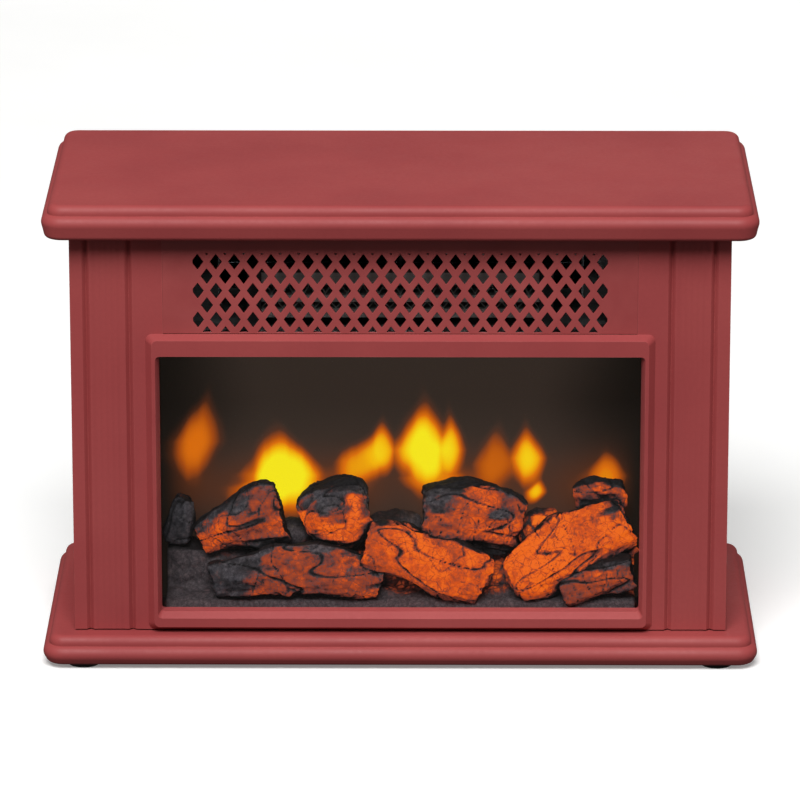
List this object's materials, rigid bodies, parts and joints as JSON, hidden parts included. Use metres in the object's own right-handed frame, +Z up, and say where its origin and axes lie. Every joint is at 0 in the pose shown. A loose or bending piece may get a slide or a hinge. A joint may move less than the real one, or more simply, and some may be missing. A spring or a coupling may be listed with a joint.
{
  "type": "electric fireplace",
  "caption": "Tabletop electric fireplace: a red mantel cabinet with a framed window onto glowing logs and flames, and a fan heater behind a diamond grille.",
  "frame": {"origin": "on the surface the fireplace stands on, under the middle of its plinth", "axes": "+X to the right seen from the front, +Y to the rear, +Z up; the window faces -Y"},
  "size_m": [0.406, 0.184, 0.2715],
  "materials": {
    "red_lacquer": "satin red lacquer on board",
    "red_metal": "satin red enamel",
    "rubber": "matt",
    "bright_steel": "zinc plated",
    "glass": "clear",
    "bare_wood": "unfinished",
    "dark_metal": "matt black paint",
    "zinc_steel": "galvanised",
    "embers": "painted translucent resin",
    "logs": "painted translucent resin",
    "flame_screen": "frosted",
    "circuit": "solder mask",
    "foil": "bright foil",
    "motor": "laminated steel",
    "bronze": "sintered bronze",
    "pale_plastic": "moulded",
    "element": "oxidised",
    "fan_wheel": "plain",
    "black_plastic": "fine texture",
    "red_rocker": "gloss"
  },
  "bodies": {
    "cabinet": {"top_slab": "red_lacquer", "plinth": "red_lacquer", "feet": "rubber", "foot_screws": "bright_steel", "left_side_panel": "red_lacquer", "right_side_panel": "red_lacquer", "left_pilaster": "red_lacquer", "right_pilaster": "red_lacquer", "window_frame": "red_lacquer", "window_glass": "glass", "glass_clips": "bright_steel", "outlet_grille": "red_metal", "corner_cleats": "bare_wood", "rear_cover": "dark_metal", "rear_cover_screws": "bright_steel", "heater_shelf": "zinc_steel", "left_chassis_plate": "dark_metal", "right_chassis_plate": "dark_metal", "firebox_floor": "dark_metal", "ember_bed": "embers", "ember_led_strip": "circuit", "log_back_left": "logs", "log_back_middle": "logs", "log_back_right": "logs", "log_corner_left": "logs", "log_corner_right": "logs", "log_front_left": "logs", "log_front_middle": "logs", "log_front_right": "logs", "log_low_right": "logs", "flame_screen": "flame_screen", "flame_motor": "motor", "flame_rotor_bush": "pale_plastic", "flame_reflector": "foil", "flame_led_strip": "circuit", "heater_duct": "zinc_steel", "heating_element": "element", "element_holders": "black_plastic", "thermal_cutout": "pale_plastic", "fan_motor": "motor", "fan_bush": "bronze", "fan_end_plates": "zinc_steel", "fan_scroll": "zinc_steel", "control_plate": "black_plastic", "switch_housings": "black_plastic", "thermostat_body": "pale_plastic", "cord_gland": "black_plastic", "terminal_block": "pale_plastic", "control_board": "circuit", "tip_switch_body": "pale_plastic", "tip_switch_spring": "bright_steel"},
    "fan": {"fan_wheel": "fan_wheel", "fan_shaft": "bright_steel"},
    "flame_rotor": {"flame_rotor_shaft": "bright_steel", "flame_rotor_foils": "foil"},
    "flame_rocker": {"flame_switch_rocker": "red_rocker"},
    "heat_rocker": {"heat_switch_rocker": "black_plastic"},
    "thermostat_dial": {"thermostat_spindle": "bright_steel", "thermostat_knob": "black_plastic"},
    "tip_plunger": {"tip_switch_plunger": "pale_plastic"}
  },
  "joints": [
    {"name": "fan_spin", "type": "hinge", "parent": "cabinet", "child": "fan", "pos_m": [0, 0.014, 0.222], "axis": [1, 0, 0], "continuous": true},
    {"name": "flame_rotor_spin", "type": "hinge", "parent": "cabinet", "child": "flame_rotor", "pos_m": [0, 0.004, 0.058], "axis": [1, 0, 0], "continuous": true},
    {"name": "flame_switch_rock", "type": "hinge", "parent": "cabinet", "child": "flame_rocker", "pos_m": [0.088, 0.0775, 0.15], "axis": [1, 0, 0], "range_deg": [-24, 0]},
    {"name": "heat_switch_rock", "type": "hinge", "parent": "cabinet", "child": "heat_rocker", "pos_m": [0.11, 0.0775, 0.15], "axis": [1, 0, 0], "range_deg": [0, 24]},
    {"name": "thermostat_turn", "type": "hinge", "parent": "cabinet", "child": "thermostat_dial", "pos_m": [0.137, 0.0765, 0.15], "axis": [0, 1, 0], "range_deg": [0, 270]},
    {"name": "tip_plunger_slide", "type": "slide", "parent": "cabinet", "child": "tip_plunger", "axis": [0, 0, -1], "range_m": [0, 0.003], "stiffness_N_per_m": 40, "springref_m": 0.008, "deforming": ["tip_switch_spring"]}
  ]
}
